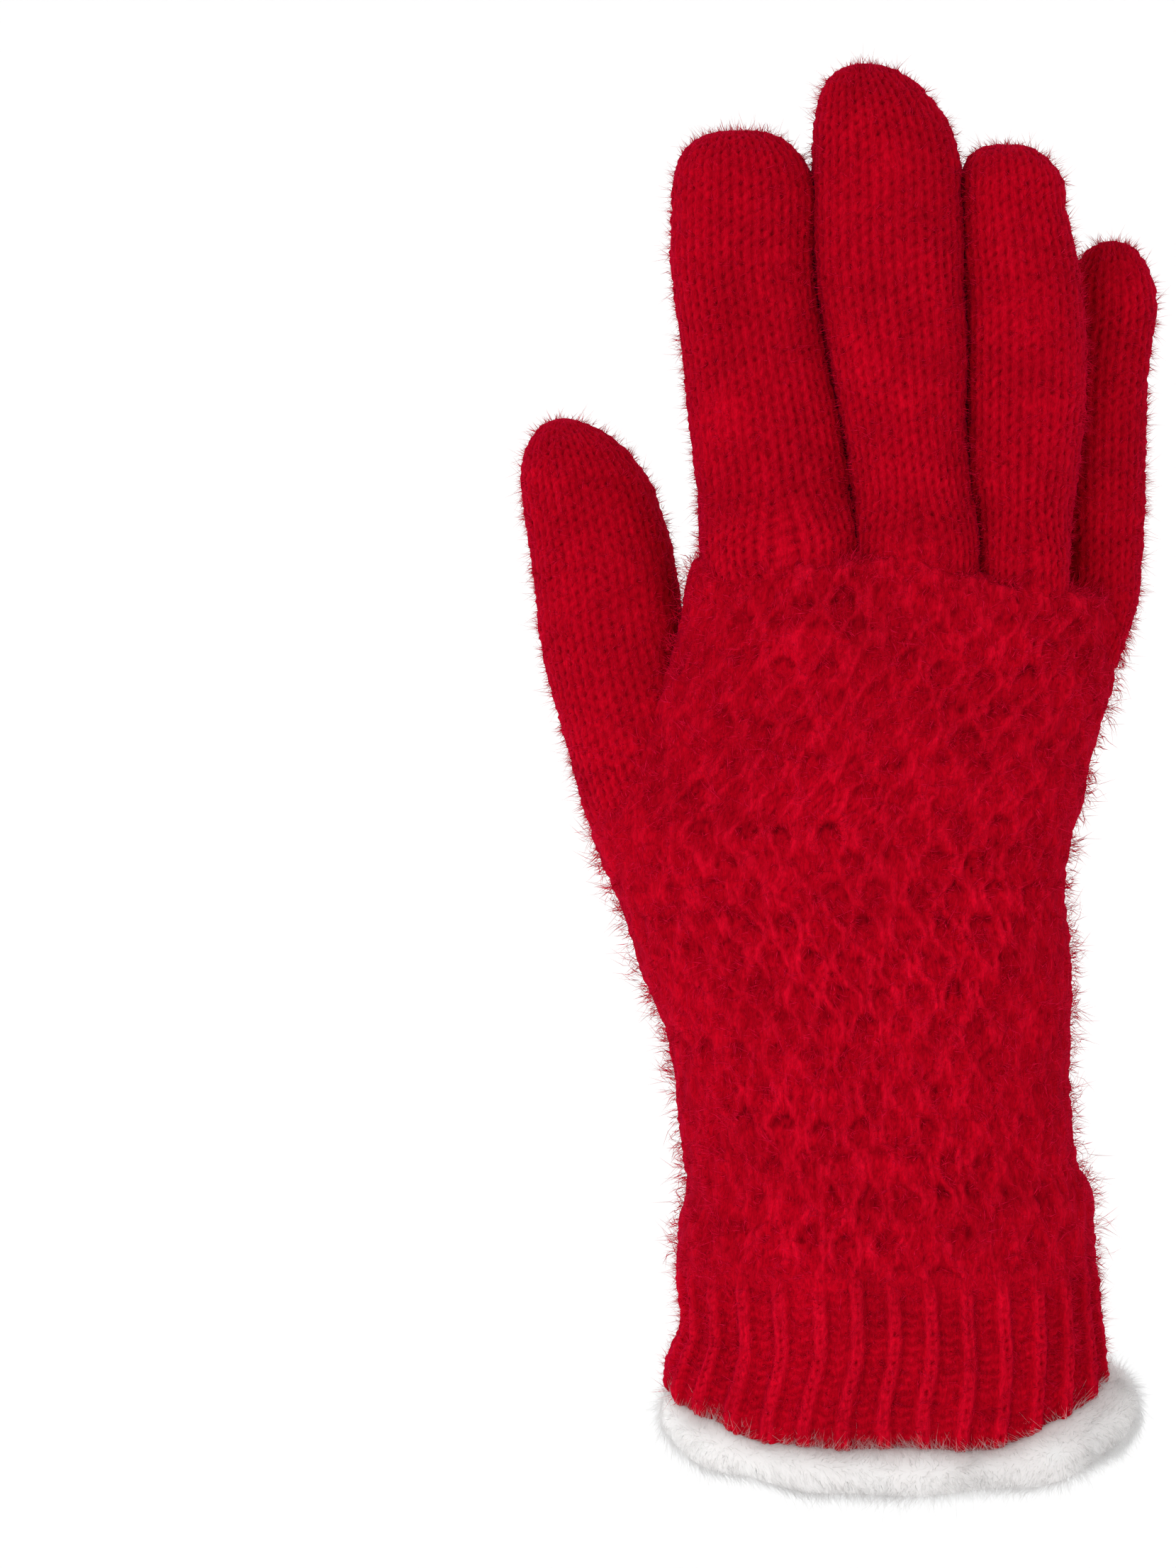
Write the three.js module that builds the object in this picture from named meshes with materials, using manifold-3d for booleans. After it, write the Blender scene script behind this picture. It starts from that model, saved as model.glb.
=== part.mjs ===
// Knitted glove for a woman's right hand, with a faux fur trim at the wrist.
// It stands as it is worn: fingers up (+Z), back of the hand to the front (-Y), thumb to the left (-X).
// Every knitted piece is a hollow wall: the hand tube, five finger tubes and the ribbed cuff.
// The origin is the middle of the wrist opening, where the hand goes in. Units are millimetres.
import * as THREE from "three";
import { mergeVertices } from "three/addons/utils/BufferGeometryUtils.js";
import Module from "manifold-3d";

const wasm = await Module();
wasm.setup();

// Walls and gaps
const knitWall = 2.6; // single-layer knit with its brushed pile
const cuffWall = 3.0; // the rib is a little thicker
const seamGap = 0.3; // between two knitted pieces that are linked together
const furGap = 0.4; // between the cuff and the fur that is sewn to it

// Outline squareness: 2 is an ellipse, more is boxier
const fingerSquareness = 2.15;
const handSquareness = 2.35;

// Points round a section
const detail = { finger: 16, fingerHollow: 11, hand: 36, handHollow: 22, cuffHollow: 32 };

// A section is the outline at a height z: left and right as seen from the front, front and back
// its reach towards the viewer and away. A finger's hollow runs down to hollowFrom, inside the hand's.
const sectionColumns = ["z", "left", "right", "front", "back"];

const fingers = [
  {
    name: "index_finger",
    hollowFrom: 151,
    tip: { x: -29.0, y: 4.5, z: 251.8, power: 2.5, lean: 2 },
    rows: table(sectionColumns, [
      [160, -34.6, -6.8, -12.2, 11.8],
      [176, -35.9, -7.3, -12.2, 12.2],
      [192, -37.7, -9.1, -11.8, 12.4],
      [208, -39.2, -12.2, -11.0, 12.8],
      [224, -41.2, -14.5, -9.4, 14.0],
      [236, -41.4, -14.4, -7.6, 15.2],
    ]),
  },
  {
    name: "middle_finger",
    hollowFrom: 151,
    tip: { x: -4.7, y: 3.5, z: 264.6, power: 2.15, lean: 2 },
    rows: table(sectionColumns, [
      [160, -6.2, 15.6, -13.6, 10.4],
      [176, -6.7, 15.6, -13.8, 10.4],
      [192, -8.5, 13.9, -13.8, 10.4],
      [208, -11.6, 14.2, -13.2, 11.0],
      [224, -13.9, 13.7, -12.0, 12.0],
      [241, -13.8, 13.1, -9.8, 13.4],
    ]),
  },
  {
    name: "ring_finger",
    hollowFrom: 143,
    tip: { x: 22.8, y: 5.0, z: 249.1, power: 2.5, lean: 2 },
    rows: table(sectionColumns, [
      [152, 17.0, 32.8, -11.0, 9.0],
      [171, 16.8, 33.2, -11.4, 9.2],
      [184, 14.9, 35.4, -11.6, 9.2],
      [200, 14.6, 36.9, -11.2, 9.8],
      [216, 14.7, 36.8, -10.4, 10.8],
      [228, 14.2, 35.6, -9.0, 12.0],
      [237, 14.1, 33.6, -7.6, 12.8],
    ]),
  },
  {
    name: "little_finger",
    hollowFrom: 147,
    tip: { x: 44.3, y: 15.0, z: 232.4, power: 2.05, lean: 2 },
    rows: table(sectionColumns, [
      [148, 28.6, 42.4, -3.4, 10.4],
      [155, 31.4, 45.0, -3.2, 11.6],
      [163, 33.6, 47.6, -2.6, 13.2],
      [177, 33.6, 49.3, -1.0, 15.6],
      [190, 33.6, 50.2, 1.4, 18.6],
      [204, 34.0, 50.8, 3.2, 20.6],
      [218, 35.4, 52.9, 5.2, 22.8],
    ]),
  },
];

const thumb = {
  name: "thumb",
  hollowFrom: 112,
  tip: { x: -62.2, y: 18.0, z: 198.3, power: 1.8, lean: 1.2 },
  rows: table(sectionColumns, [
    [112, -52.4, -26.0, -11.0, 18.0],
    [120, -57.4, -29.0, -10.6, 18.6],
    [128, -59.9, -32.4, -9.6, 19.0],
    [144, -64.2, -36.4, -6.6, 20.0],
    [156, -66.7, -38.9, -4.0, 21.4],
    [169, -68.0, -40.5, -1.0, 23.6],
    [181, -69.7, -43.7, 2.2, 26.0],
  ]),
};

// The hand tube, from the top of the rib to the knuckles
const hand = {
  rows: table(sectionColumns, [
    [36, -40.6, 38.9, -26.4, 25.8],
    [43, -40.5, 38.7, -26.2, 25.6],
    [50, -38.7, 38.0, -25.0, 24.4],
    [55, -38.9, 35.6, -24.2, 23.8],
    [63, -39.7, 34.6, -23.4, 23.2],
    [71, -40.5, 33.9, -22.8, 22.8],
    [79, -41.8, 33.8, -22.4, 22.6],
    [87, -45.1, 33.9, -22.0, 22.6],
    [95, -47.9, 34.0, -21.6, 22.6],
    [103, -50.4, 33.2, -21.4, 22.4],
    [111, -53.9, 33.4, -21.0, 22.0],
    [118, -56.4, 34.8, -20.6, 21.4],
    [123, -54.4, 36.4, -20.2, 20.8],
    [130, -50.4, 37.8, -19.6, 19.8],
    [139, -46.0, 40.2, -19.0, 18.6],
    [148, -41.4, 42.6, -18.2, 17.2],
    [156, -39.0, 44.0, -17.4, 16.0],
    [161, -38.4, 45.6, -16.8, 15.2],
  ]),
  shoulderRadius: 6.5, // how the tube rounds over to the finger bases
  knuckleTilt: -0.1, // the knuckle line falls towards the little finger
  tiltStart: 118, // below this height the sections are level
  arch: 5, // how far the little finger's side is set back at the knuckles
};

// Soft mounds and hollows of the palm side, each a bell of the given widths
const palmMounds = table(
  ["x", "z", "wide", "tall", "height"],
  [
    [-30, 108, 17, 30, 4.5], // ball of the thumb
    [20, 92, 16, 30, 2.5], // heel
    [4, 126, 14, 20, -2.5], // hollow of the palm
    [6, 150, 34, 9, 1.8], // pads under the fingers
  ],
);

const rib = {
  count: 31, // ribs round the cuff, 6.9 mm apart
  height: 1.5, // how far a rib stands proud of the recess
  pointsPerRib: 3,
  rows: table(sectionColumns, [
    [3.2, -40.6, 38.8, -26.4, 25.6],
    [4.6, -42.0, 40.2, -27.6, 26.8],
    [9, -42.2, 40.4, -27.6, 26.8],
    [15, -40.8, 40.2, -26.8, 26.2],
    [21, -39.2, 39.8, -26.2, 25.6],
    [28, -39.4, 39.0, -26.0, 25.4],
    [35.7, -40.6, 38.9, -26.4, 25.8],
  ]),
  lift: { left: 8, right: 11, back: 4, power: 3.5 }, // how far the hem rises above its front
};

const fur = {
  // out: from the middle of the cuff's wall; drop: below the hem; angle: 0 is +X, 90 the palm side
  rows: table(
    ["angle", "out", "halfDepth", "halfHeight", "drop"],
    [
      [0, 1.9, 7.2, 8.2, 6.0],
      [45, 0.9, 6.2, 7.0, 4.6],
      [90, 0.2, 5.2, 5.4, 3.6],
      [135, -0.2, 5.0, 5.4, 3.4],
      [180, -0.6, 4.8, 6.0, 3.6],
      [225, 0.0, 5.0, 5.2, 2.6],
      [270, 0.3, 5.2, 4.8, 2.4],
      [315, 1.2, 6.2, 6.0, 3.4],
      [360, 1.9, 7.2, 8.2, 6.0],
    ],
  ),
  around: 32,
  profile: 7,
  lock: { rows: [-1.9, -1.1, -0.3], around: 20, length: 1.5, radius: 3.9, sides: 4, sunk: 1.6, sway: 0.05 },
};

const knitMaterial = new THREE.MeshStandardMaterial({ color: 0xa80316, roughness: 0.95, metalness: 0 });
const furMaterial = new THREE.MeshStandardMaterial({ color: 0xe6e3e2, roughness: 0.9, metalness: 0 });

function table(columns, rows) {
  return rows.map((row) => Object.fromEntries(columns.map((name, i) => [name, row[i]])));
}

// One column of a table at a place along its key column, by a smooth curve through the rows.
function read(rows, key, name, place) {
  const last = rows.length - 1;
  const at = THREE.MathUtils.clamp(place, rows[0][key], rows[last][key]);
  let i = 0;
  while (i < last - 1 && rows[i + 1][key] < at) i += 1;
  const slope = (j) => {
    const low = rows[Math.max(j - 1, 0)];
    const high = rows[Math.min(j + 1, last)];
    return (high[name] - low[name]) / (high[key] - low[key]);
  };
  const span = rows[i + 1][key] - rows[i][key];
  const t = (at - rows[i][key]) / span;
  const rise = t * t * (3 - 2 * t);
  const leave = t * (1 - t) ** 2;
  const arrive = t * t * (t - 1);
  return (
    rows[i][name] * (1 - rise) +
    rows[i + 1][name] * rise +
    span * (slope(i) * leave + slope(i + 1) * arrive)
  );
}

// The section of a table at height z, moved out by grow on every side.
function sectionAt(rows, z, grow) {
  const left = read(rows, "z", "left", z) - grow;
  const right = read(rows, "z", "right", z) + grow;
  const front = read(rows, "z", "front", z) - grow;
  const back = read(rows, "z", "back", z) + grow;
  return {
    x: (left + right) / 2,
    y: (front + back) / 2,
    halfWidth: (right - left) / 2,
    halfDepth: (back - front) / 2,
  };
}

// Points on a squared-off ellipse, spaced evenly along it, each set to its height and moved by shape.
function ring(section, sides, squareness, shape) {
  const fine = 256;
  const curve = (angle) => {
    const c = Math.cos(angle);
    const s = Math.sin(angle);
    return new THREE.Vector3(
      section.x + section.halfWidth * Math.sign(c) * Math.abs(c) ** (2 / squareness),
      section.y + section.halfDepth * Math.sign(s) * Math.abs(s) ** (2 / squareness),
      0,
    );
  };
  const outline = Array.from({ length: fine + 1 }, (_, i) => curve((2 * Math.PI * i) / fine));
  const reach = [0];
  for (let i = 1; i <= fine; i += 1) reach.push(reach[i - 1] + outline[i].distanceTo(outline[i - 1]));
  let j = 0;
  return Array.from({ length: sides }, (_, i) => {
    const wanted = (reach[fine] * i) / sides;
    while (reach[j + 1] < wanted) j += 1;
    const share = (wanted - reach[j]) / (reach[j + 1] - reach[j]);
    const point = outline[j].clone().lerp(outline[j + 1], share);
    shape(point, i);
    return point;
  });
}

function solidFrom(points, faces) {
  const positions = points.flatMap((p) => [p.x, p.y, p.z]);
  const mesh = new wasm.Mesh({
    numProp: 3,
    vertProperties: new Float32Array(positions),
    triVerts: new Uint32Array(faces),
  });
  return new wasm.Manifold(mesh);
}

// A closed solid through rings of equal point count, lowest ring first.
function loft(rings) {
  const sides = rings[0].length;
  const points = rings.flat();
  const faces = [];
  for (let k = 0; k + 1 < rings.length; k += 1) {
    for (let i = 0; i < sides; i += 1) {
      const a = k * sides + i;
      const b = k * sides + ((i + 1) % sides);
      faces.push(a, b, b + sides, a, b + sides, a + sides);
    }
  }
  const middle = (r) => r.reduce((sum, p) => sum.add(p), new THREE.Vector3()).divideScalar(sides);
  const low = points.length;
  const high = low + 1;
  const top = (rings.length - 1) * sides;
  points.push(middle(rings[0]), middle(rings[rings.length - 1]));
  for (let i = 0; i < sides; i += 1) {
    const next = (i + 1) % sides;
    faces.push(low, next, i, high, top + i, top + next);
  }
  return solidFrom(points, faces);
}

// Heights from low to high in equal steps.
function steps(low, high, count) {
  return Array.from({ length: count + 1 }, (_, i) => low + ((high - low) * i) / count);
}

// A finger: level sections up to the last row of its table, then a rounded tip.
function fingerSolid(finger, grow, startZ, sides, levels, tipLevels) {
  const rows = finger.rows;
  const shoulderZ = rows[rows.length - 1].z;
  const rings = steps(startZ, shoulderZ, levels).map((z) =>
    ring(sectionAt(rows, z, grow), sides, fingerSquareness, (p) => p.setZ(z)),
  );
  const shoulder = sectionAt(rows, shoulderZ, grow);
  const tip = finger.tip;
  for (let i = 1; i <= tipLevels; i += 1) {
    const t = Math.sin((0.47 * Math.PI * i) / tipLevels);
    const shrink = (1 - t ** tip.power) ** (1 / tip.power);
    const z = shoulderZ + (tip.z + grow - shoulderZ) * t;
    const lean = t ** tip.lean;
    const section = {
      x: shoulder.x + (tip.x - shoulder.x) * lean,
      y: shoulder.y + (tip.y - shoulder.y) * lean,
      halfWidth: shoulder.halfWidth * shrink,
      halfDepth: shoulder.halfDepth * shrink,
    };
    rings.push(ring(section, sides, fingerSquareness, (p) => p.setZ(z)));
  }
  return loft(rings);
}

// How far the palm stands out beyond the plain section at x and z.
function palmRelief(x, z) {
  const bell = (m) => m.height * Math.exp(-(((x - m.x) / m.wide) ** 2) - ((z - m.z) / m.tall) ** 2);
  return palmMounds.reduce((sum, m) => sum + bell(m), 0);
}

// The hand tube: tilted sections, rounded over at the knuckles. startZ is its lower end.
function handSolid(grow, startZ, sides, levels) {
  const topZ = hand.rows[hand.rows.length - 1].z;
  const knuckleShare = (z) => THREE.MathUtils.smoothstep(z, hand.tiltStart, topZ);
  const tube = (section, z) =>
    ring(section, sides, handSquareness, (p) => {
      const palmShare = Math.max(0, (p.y - section.y) / section.halfDepth);
      const littleShare = Math.max(0, (p.x - section.x) / section.halfWidth);
      p.y += palmShare * palmRelief(p.x, z) + hand.arch * knuckleShare(z) * littleShare ** 2;
      p.z = z + hand.knuckleTilt * knuckleShare(z) * (p.x - section.x);
    });
  const rings = steps(startZ, topZ, levels).map((z) => tube(sectionAt(hand.rows, z, grow), z));
  const radius = hand.shoulderRadius + grow;
  for (const share of [1 / 3, 2 / 3, 1]) {
    const angle = (Math.PI / 2) * share;
    const section = sectionAt(hand.rows, topZ, grow - radius * (1 - Math.cos(angle)));
    rings.push(tube(section, topZ + radius * Math.sin(angle)));
  }
  return loft(rings);
}

// How far the hem rises at a point of a cuff section, above its front.
function hemLift(p, section) {
  const { left, right, back, power } = rib.lift;
  const share = Math.min(1, Math.abs(p.x - section.x) / section.halfWidth) ** power;
  const side = p.x < section.x ? left : right;
  const base = p.y > section.y ? back : 0;
  return base + (side - base) * share;
}

// The cuff, with one raised lobe for each rib, or smooth when lobes is 0.
function cuffSolid(grow, lobes, sides, levels) {
  const low = rib.rows[0].z;
  const high = rib.rows[rib.rows.length - 1].z;
  const rings = levels.map((z) => {
    const section = sectionAt(rib.rows, z, grow - lobes / 2);
    const fade = THREE.MathUtils.clamp((high - z) / (high - low), 0, 1) ** 1.5;
    return ring(section, sides, handSquareness, (p, i) => {
      const lift = fade * hemLift(p, section);
      const out = new THREE.Vector3(p.x - section.x, p.y - section.y, 0);
      out.x /= section.halfWidth ** 2;
      out.y /= section.halfDepth ** 2;
      const ridge = 0.5 + 0.5 * Math.cos((2 * Math.PI * i * rib.count) / sides);
      p.addScaledVector(out.normalize(), lobes * ridge ** 1.5);
      p.z = z + lift;
    });
  });
  return loft(rings);
}

// A point of the fur's roll: around is the place on the ring in degrees, across the turn of its
// profile in radians (0 is outwards, a quarter turn is up). reach is the distance out of the surface.
function furPoint(around, across, reach) {
  const angle = ((around % 360) + 360) % 360;
  const [out, halfDepth, halfHeight, drop] = ["out", "halfDepth", "halfHeight", "drop"].map((name) =>
    read(fur.rows, "angle", name, angle),
  );
  const turn = THREE.MathUtils.degToRad(angle);
  const puff = 1 + 0.06 * Math.sin(7 * turn + 1) + 0.05 * Math.sin(12 * turn);
  const section = sectionAt(rib.rows, rib.rows[1].z, -cuffWall / 2);
  const outward = out + (halfDepth * puff + reach) * Math.cos(across);
  const point = new THREE.Vector3(
    section.x + (section.halfWidth + outward) * Math.cos(turn),
    section.y + (section.halfDepth + outward) * Math.sin(turn),
    0,
  );
  const hem = new THREE.Vector3(
    section.x + section.halfWidth * Math.cos(turn),
    section.y + section.halfDepth * Math.sin(turn),
    0,
  );
  point.z = rib.rows[0].z + hemLift(hem, section) - drop + (halfHeight * puff + reach) * Math.sin(across);
  return point;
}

// The roll of fur: its profile carried round the hem.
function furRoll() {
  const { around, profile } = fur;
  const points = [];
  const faces = [];
  for (let i = 0; i < around; i += 1) {
    for (let j = 0; j < profile; j += 1) {
      points.push(furPoint((360 * i) / around, (2 * Math.PI * j) / profile, 0));
      const a = i * profile + j;
      const b = i * profile + ((j + 1) % profile);
      const c = ((i + 1) % around) * profile + j;
      const d = ((i + 1) % around) * profile + ((j + 1) % profile);
      faces.push(a, c, d, a, d, b);
    }
  }
  return solidFrom(points, faces);
}

// One lock of fur: a leaning cone whose foot is sunk into the roll.
function furLock(around, across, lean) {
  const { length, radius, sides, sunk } = fur.lock;
  const foot = furPoint(around, across, -sunk);
  const tip = furPoint(around + THREE.MathUtils.radToDeg(lean), across - Math.abs(lean), length);
  const axis = tip.clone().sub(foot).normalize();
  const first = new THREE.Vector3(0, 0, 1).cross(axis).normalize();
  const second = axis.clone().cross(first);
  const points = [];
  const faces = [];
  for (let i = 0; i < sides; i += 1) {
    const turn = (2 * Math.PI * i) / sides;
    const edge = foot.clone().addScaledVector(first, radius * Math.cos(turn));
    points.push(edge.addScaledVector(second, radius * Math.sin(turn)));
    const next = (i + 1) % sides;
    faces.push(sides, next, i, i, next, sides + 1);
  }
  points.push(foot, tip);
  return solidFrom(points, faces);
}

function meshFrom(name, solid, material) {
  const data = solid.getMesh();
  const geometry = new THREE.BufferGeometry();
  geometry.setAttribute("position", new THREE.BufferAttribute(new Float32Array(data.vertProperties), 3));
  geometry.setIndex(new THREE.BufferAttribute(new Uint32Array(data.triVerts), 1));
  const mesh = new THREE.Mesh(mergeVertices(geometry), material);
  mesh.name = name;
  return mesh;
}

const glove = new THREE.Group();

// Hand tube and fingers: each finger is a hollow tube seated on the hand tube and open into it
const handLow = hand.rows[0].z;
const handClear = handSolid(seamGap, handLow, detail.hand, 14);
let handTube = handSolid(0, handLow, detail.hand, 14).subtract(
  handSolid(-knitWall, handLow - 1, detail.handHollow, 8),
);
for (const finger of [...fingers, thumb]) {
  const rootZ = finger.rows[0].z;
  const outer = fingerSolid(finger, 0, rootZ, detail.finger, 6, 4);
  const hollow = fingerSolid(finger, -knitWall, finger.hollowFrom, detail.fingerHollow, 4, 3);
  handTube = handTube.subtract(hollow);
  glove.add(meshFrom(finger.name, outer.subtract(hollow).subtract(handClear), knitMaterial));
}
glove.add(meshFrom("hand_tube", handTube, knitMaterial));

// Ribbed cuff
const cuffLevels = rib.rows.map((row) => row.z);
const [hemZ, ...upperLevels] = cuffLevels;
const throughLevels = [hemZ - 12, hemZ, ...upperLevels, handLow + 1];
const cuffOuter = cuffSolid(0, rib.height, rib.count * rib.pointsPerRib, cuffLevels);
const cuffHollow = cuffSolid(-cuffWall, 0, detail.cuffHollow, throughLevels);
glove.add(meshFrom("rib_cuff", cuffOuter.subtract(cuffHollow), knitMaterial));

// Fur trim: a roll round the hem with its locks, grooved for the edge of the cuff
const grooveLevels = cuffLevels.filter((z) => z < 22);
const clearOuter = cuffSolid(rib.height / 2 + furGap, 0, detail.cuffHollow, [hemZ - furGap, ...grooveLevels]);
const clearInner = cuffSolid(-cuffWall - furGap, 0, detail.cuffHollow, [hemZ - 12, ...grooveLevels]);
const locks = fur.lock.rows.flatMap((across, row) =>
  steps(0, fur.lock.around - 1, fur.lock.around - 1).map((i) => {
    const sway = fur.lock.sway * Math.sin(5.3 * i + 2.1 * row);
    return furLock((360 * (i + 0.5 * (row % 2))) / fur.lock.around, across + 2 * sway, sway);
  }),
);
const furCut = wasm.Manifold.union([furRoll(), ...locks]).subtract(clearOuter.subtract(clearInner));
const [furTrim] = furCut.decompose().sort((a, b) => b.volume() - a.volume()); // without the groove's crumbs
glove.add(meshFrom("fur_trim", furTrim, furMaterial));

export default glove;
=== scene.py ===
# Knitted glove for the right hand with a fur trim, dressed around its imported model.
# Lengths in the tables are millimetres, as a knitter would measure them; meshes are in metres, +Z up.
import math

import bpy
import numpy as np
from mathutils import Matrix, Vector


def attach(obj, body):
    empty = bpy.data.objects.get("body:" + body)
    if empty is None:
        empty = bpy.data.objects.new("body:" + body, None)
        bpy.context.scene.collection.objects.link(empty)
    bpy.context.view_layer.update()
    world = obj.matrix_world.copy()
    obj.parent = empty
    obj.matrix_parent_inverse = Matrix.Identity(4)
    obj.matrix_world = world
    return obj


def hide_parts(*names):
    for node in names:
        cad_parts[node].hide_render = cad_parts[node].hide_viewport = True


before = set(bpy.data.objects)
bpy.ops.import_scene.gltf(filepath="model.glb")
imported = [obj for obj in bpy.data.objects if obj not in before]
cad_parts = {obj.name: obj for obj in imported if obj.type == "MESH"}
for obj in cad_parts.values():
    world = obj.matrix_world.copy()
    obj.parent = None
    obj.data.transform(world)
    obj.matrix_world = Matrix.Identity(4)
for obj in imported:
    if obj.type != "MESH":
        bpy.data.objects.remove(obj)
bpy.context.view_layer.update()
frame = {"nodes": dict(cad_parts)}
print("frame loaded:", ", ".join(frame["nodes"]))

mm = 0.001
rng = np.random.default_rng(20)


# Shaping helpers: each takes and gives whole arrays

def smoothstep(value, low, high):
    # 0 below low, 1 above high, and the curve 3tt - 2ttt between
    t = np.clip((value - low) / (high - low), 0, 1)
    return t * t * (3 - 2 * t)


def readTable(rows, place):
    # every column at each place: cubic pieces whose slope at a row is that of the chord past its neighbours
    table = np.array(rows, float)
    keys, values = table[:, 0], table[:, 1:]
    last = len(keys) - 1
    low, high = np.maximum(np.arange(last + 1) - 1, 0), np.minimum(np.arange(last + 1) + 1, last)
    slope = (values[high] - values[low]) / (keys[high] - keys[low])[:, None]
    at = np.clip(np.ravel(place), keys[0], keys[-1])
    i = np.clip(np.searchsorted(keys, at) - 1, 0, last - 1)
    span = (keys[i + 1] - keys[i])[:, None]
    t = (at - keys[i])[:, None] / span
    rise = t * t * (3 - 2 * t)
    bend = span * (slope[i] * t * (1 - t) ** 2 + slope[i + 1] * t * t * (t - 1))
    return (values[i] * (1 - rise) + values[i + 1] * rise + bend).T


def evenAngles(halfWidth, halfDepth, power, share):
    # turns that lie at the given shares of the way round a squared-off ellipse
    turn = np.linspace(0, 2 * np.pi, 4001)
    x, y = squaredEllipse(turn, halfWidth, halfDepth, power)
    reach = np.concatenate([[0], np.cumsum(np.hypot(np.diff(x), np.diff(y)))])
    whole = np.floor(share)
    return np.interp((share - whole) * reach[-1], reach, turn) + 2 * np.pi * whole


def squaredEllipse(turn, halfWidth, halfDepth, power):
    # an ellipse whose cosine and sine are raised to 2 over power, with their signs kept
    c, s = np.cos(turn), np.sin(turn)
    x = halfWidth * np.sign(c) * np.abs(c) ** (2 / power)
    return x, halfDepth * np.sign(s) * np.abs(s) ** (2 / power)


def softNoise(points, size, seed):
    # smooth random lumps from -1 to 1, size millimetres wide: random numbers on a lattice, blended between
    stepX, stepY, stepZ, stepSeed, scatter = 73856093, 19349663, 83492791, 2654435761, 1274126177
    cell = points / size
    base = np.floor(cell).astype(np.int64)
    t = cell - base
    t = t * t * (3 - 2 * t)
    total = np.zeros(points.shape[:-1])
    for corner in np.ndindex(2, 2, 2):
        spot = base + corner
        mix = (spot[..., 0] * stepX) ^ (spot[..., 1] * stepY) ^ (spot[..., 2] * stepZ) ^ (seed * stepSeed)
        mix = (mix ^ (mix >> 13)) * scatter & 0xFFFFFFFF
        value = ((mix ^ (mix >> 16)) & 0xFFFF) / 32767.5 - 1
        weight = np.prod(np.where(np.array(corner) == 1, t, 1 - t), axis=-1)
        total += weight * value
    return total


def addNoise(value, points, layers):
    # value plus soft noise, layer by layer; a layer is its height, its width in millimetres and its seed
    for height, size, seed in layers:
        value = value + height * softNoise(points, size, seed)
    return value


def gridNormals(points):
    # outward normal of a grid whose columns run round and whose rows run up: round crossed with up
    around = np.roll(points, -1, axis=1) - np.roll(points, 1, axis=1)
    upward = np.gradient(points, axis=0)
    normal = np.cross(around, upward)
    return normal / np.maximum(np.linalg.norm(normal, axis=-1, keepdims=True), 1e-9)


# Stitch patterns: a relief of 0 in the holes to 1 on the yarn. The yarn's colour follows the relief, with
# painted shade in the holes and a painted highlight on the yarn

# Plain knit: a wale is a column of V stitches, a course is a row of them and a leg is half a V. level is the
# relief at the outline, depth what a gap sinks below it, and wall the thickness of the knit.
knit = {
    "wale": 4.0, "course": 2.25, "lean": 24, "legLong": 2.05, "legShort": 0.92, "depth": 0.65, "level": 0.8,
    # the inner wall's tone is set low, as painted shade inside the glove, and tipRelief is the tone at a
    # fingertip
    "wall": 2.6, "insideShade": 0.35, "tipRelief": 0.7,
}

# The yarn's own roughness: its height and width
fluff = (0.36, 0.9)


def plainKnit(wale, course):
    # a leg is a leaning capsule; the relief is the root of one less the squared distance to the nearest leg
    side = np.abs(wale - np.floor(wale) - 0.5)
    du = (side - 0.25) * knit["wale"]
    lean = math.radians(knit["lean"])
    best = np.zeros(np.broadcast(wale, course).shape)
    for lap in (-2, -1, 0, 1, 2):
        dv = (course - np.floor(course) - 0.5 - lap) * knit["course"]
        along = du * math.sin(lean) + dv * math.cos(lean)
        across = du * math.cos(lean) - dv * math.sin(lean)
        inside = 1 - (along / knit["legLong"]) ** 2 - (across / knit["legShort"]) ** 2
        best = np.maximum(best, np.sqrt(np.clip(inside, 0, 1)))
    return best


# The honeycomb of the back: a cell's width and height, a strand's half width and its sway in half cells, the
# height of the whole pattern, and cells and wales round the hand
honeycomb = {
    "cell": 7.6, "row": 5.8, "net": 0.75, "sway": 0.29, "depth": 0.75, "cellsRound": 28, "walesRound": 50,
    # pits and an arch over some of the cells, painted dark as shade in the pits and as a shadow under the
    # arch: place from the cell's middle, size and how many show
    "hole": {"up": 2.2, "upVary": 1.4, "tall": 0.9, "side": 0.8, "sideVary": 0.5, "wide": 0.5,
             "shown": (0.1, 0.5)},
    "arch": {"up": 2.4, "curve": 0.35, "tall": 0.55, "wide": 1.5, "shown": (0.15, 0.8)},
    # what each thing adds to the height and the tone; sink, hole, arch and between take it away. In the tone,
    # net and node are a painted highlight on the raised strands, and sink, hole, arch and between are painted
    # shade in the low places
    "height": {"net": 0.7, "node": 0.4, "sink": 0.5, "hole": 0.4, "arch": 0.3, "yarn": 0.5},
    "tone": {"base": 0.64, "net": 0.16, "node": 0.2, "sink": 0.08, "yarn": 0.3,
             "hole": 0.5, "arch": 0.42, "between": 0.32},
}


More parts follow.
